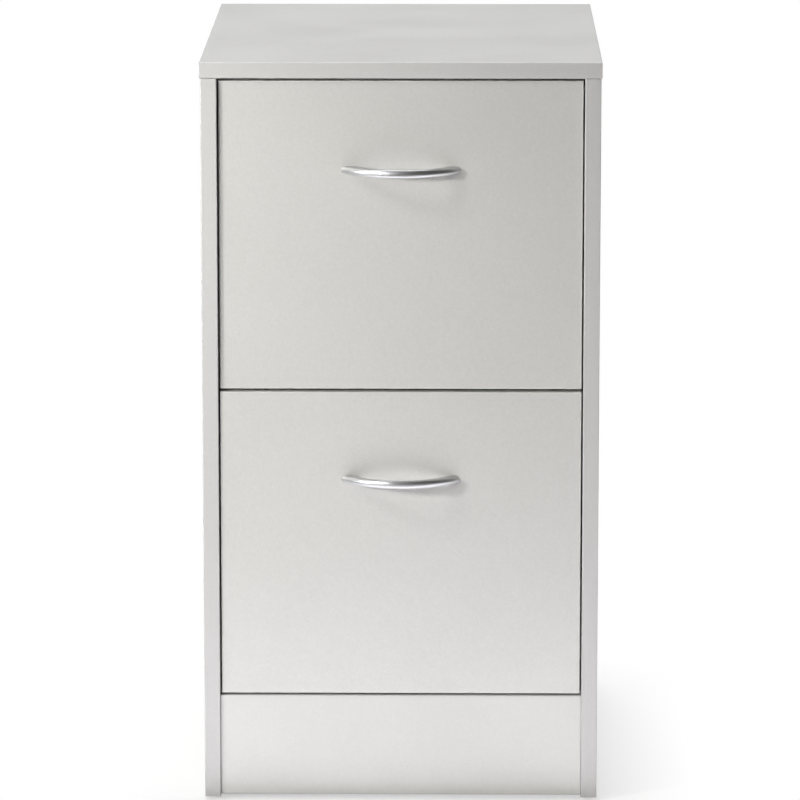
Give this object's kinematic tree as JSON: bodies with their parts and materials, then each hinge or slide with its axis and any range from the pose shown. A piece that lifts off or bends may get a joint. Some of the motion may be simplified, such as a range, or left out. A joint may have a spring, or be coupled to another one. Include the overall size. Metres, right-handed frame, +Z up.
{
  "type": "filing cabinet",
  "caption": "Desk-height filing cabinet in silver-grey board with stacked deep inset drawers on roller runners, bow handles, a kick board and rails for suspension files.",
  "frame": {"origin": "on the floor, in the middle of the footprint with the handles included", "axes": "+X to the right of a person facing the drawers, -Y towards that person, +Z up"},
  "size_m": [0.4, 0.5264, 0.755],
  "materials": {
    "silver_melamine": "chipboard faced in silver-grey pearl melamine, satin, with matching plastic edge bands",
    "drawer_box_melamine": "thin chipboard faced in pale grey melamine, satin",
    "hardboard": "thin hardboard with a pale grey lacquered face, matt",
    "runner_epoxy": "rolled sheet steel under off-white epoxy powder coat",
    "roller_nylon": "natural nylon, turned smooth by use",
    "rail_plastic": "extruded grey plastic",
    "beech": "unfinished beech dowel",
    "glide_plastic": "moulded brown plastic, scuffed underneath",
    "satin_handle": "cast zinc with a satin nickel look, soft bright highlights",
    "zinc_hardware": "bright zinc-plated steel and zinc castings"
  },
  "bodies": {
    "carcass": {"top_panel": "silver_melamine", "left_side_panel": "silver_melamine", "right_side_panel": "silver_melamine", "bottom_panel": "silver_melamine", "plinth_panel": "silver_melamine", "back_panel": "hardboard", "glide_front_left": "glide_plastic", "cam_top_front_left": "zinc_hardware", "bolt_top_front_left": "zinc_hardware", "glide_rear_left": "glide_plastic", "cam_top_rear_left": "zinc_hardware", "bolt_top_rear_left": "zinc_hardware", "cam_bottom_left": "zinc_hardware", "bolt_bottom_left": "zinc_hardware", "plinth_dowel_left": "beech", "lower_cabinet_runner_left": "runner_epoxy", "upper_cabinet_runner_left": "runner_epoxy", "glide_front_right": "glide_plastic", "cam_top_front_right": "zinc_hardware", "bolt_top_front_right": "zinc_hardware", "glide_rear_right": "glide_plastic", "cam_top_rear_right": "zinc_hardware", "bolt_top_rear_right": "zinc_hardware", "cam_bottom_right": "zinc_hardware", "bolt_bottom_right": "zinc_hardware", "plinth_dowel_right": "beech", "lower_cabinet_runner_right": "runner_epoxy", "upper_cabinet_runner_right": "runner_epoxy"},
    "lower_drawer": {"lower_drawer_front": "silver_melamine", "lower_box_back": "drawer_box_melamine", "lower_box_bottom": "hardboard", "lower_handle": "satin_handle", "lower_box_side_left": "drawer_box_melamine", "lower_file_rail_left": "rail_plastic", "lower_handle_screw_left": "zinc_hardware", "lower_drawer_runner_left": "runner_epoxy", "lower_box_side_right": "drawer_box_melamine", "lower_file_rail_right": "rail_plastic", "lower_handle_screw_right": "zinc_hardware", "lower_drawer_runner_right": "runner_epoxy"},
    "lower_front_roller_left_body": {"lower_front_roller_left": "roller_nylon"},
    "lower_rear_roller_left_body": {"lower_rear_roller_left": "roller_nylon"},
    "lower_front_roller_right_body": {"lower_front_roller_right": "roller_nylon"},
    "lower_rear_roller_right_body": {"lower_rear_roller_right": "roller_nylon"},
    "upper_drawer": {"upper_drawer_front": "silver_melamine", "upper_box_back": "drawer_box_melamine", "upper_box_bottom": "hardboard", "upper_handle": "satin_handle", "upper_box_side_left": "drawer_box_melamine", "upper_file_rail_left": "rail_plastic", "upper_handle_screw_left": "zinc_hardware", "upper_drawer_runner_left": "runner_epoxy", "upper_box_side_right": "drawer_box_melamine", "upper_file_rail_right": "rail_plastic", "upper_handle_screw_right": "zinc_hardware", "upper_drawer_runner_right": "runner_epoxy"},
    "upper_front_roller_left_body": {"upper_front_roller_left": "roller_nylon"},
    "upper_rear_roller_left_body": {"upper_rear_roller_left": "roller_nylon"},
    "upper_front_roller_right_body": {"upper_front_roller_right": "roller_nylon"},
    "upper_rear_roller_right_body": {"upper_rear_roller_right": "roller_nylon"}
  },
  "joints": [
    {"name": "lower_drawer_slide", "type": "slide", "parent": "carcass", "child": "lower_drawer", "axis": [0, -1, 0], "range_m": [0, 0.34]},
    {"name": "lower_front_roller_left_spin", "type": "hinge", "parent": "carcass", "child": "lower_front_roller_left_body", "pos_m": [-0.1773, -0.20125, 0.151], "axis": [1, 0, 0], "continuous": true},
    {"name": "lower_rear_roller_left_spin", "type": "hinge", "parent": "lower_drawer", "child": "lower_rear_roller_left_body", "pos_m": [-0.1769, 0.21905, 0.151], "axis": [1, 0, 0], "continuous": true},
    {"name": "lower_front_roller_right_spin", "type": "hinge", "parent": "carcass", "child": "lower_front_roller_right_body", "pos_m": [0.1773, -0.20125, 0.151], "axis": [1, 0, 0], "continuous": true},
    {"name": "lower_rear_roller_right_spin", "type": "hinge", "parent": "lower_drawer", "child": "lower_rear_roller_right_body", "pos_m": [0.1769, 0.21905, 0.151], "axis": [1, 0, 0], "continuous": true},
    {"name": "upper_drawer_slide", "type": "slide", "parent": "carcass", "child": "upper_drawer", "axis": [0, -1, 0], "range_m": [0, 0.34]},
    {"name": "upper_front_roller_left_spin", "type": "hinge", "parent": "carcass", "child": "upper_front_roller_left_body", "pos_m": [-0.1773, -0.19975, 0.465], "axis": [1, 0, 0], "continuous": true},
    {"name": "upper_rear_roller_left_spin", "type": "hinge", "parent": "upper_drawer", "child": "upper_rear_roller_left_body", "pos_m": [-0.1769, 0.22055, 0.465], "axis": [1, 0, 0], "continuous": true},
    {"name": "upper_front_roller_right_spin", "type": "hinge", "parent": "carcass", "child": "upper_front_roller_right_body", "pos_m": [0.1773, -0.19975, 0.465], "axis": [1, 0, 0], "continuous": true},
    {"name": "upper_rear_roller_right_spin", "type": "hinge", "parent": "upper_drawer", "child": "upper_rear_roller_right_body", "pos_m": [0.1769, 0.22055, 0.465], "axis": [1, 0, 0], "continuous": true}
  ],
  "couplings": [
    {"joint": "lower_front_roller_left_spin", "follows": "lower_drawer_slide", "rad_per_m": 93.458},
    {"joint": "lower_rear_roller_left_spin", "follows": "lower_drawer_slide", "rad_per_m": 93.458},
    {"joint": "lower_front_roller_right_spin", "follows": "lower_drawer_slide", "rad_per_m": 93.458},
    {"joint": "lower_rear_roller_right_spin", "follows": "lower_drawer_slide", "rad_per_m": 93.458},
    {"joint": "upper_front_roller_left_spin", "follows": "upper_drawer_slide", "rad_per_m": 93.458},
    {"joint": "upper_rear_roller_left_spin", "follows": "upper_drawer_slide", "rad_per_m": 93.458},
    {"joint": "upper_front_roller_right_spin", "follows": "upper_drawer_slide", "rad_per_m": 93.458},
    {"joint": "upper_rear_roller_right_spin", "follows": "upper_drawer_slide", "rad_per_m": 93.458}
  ]
}
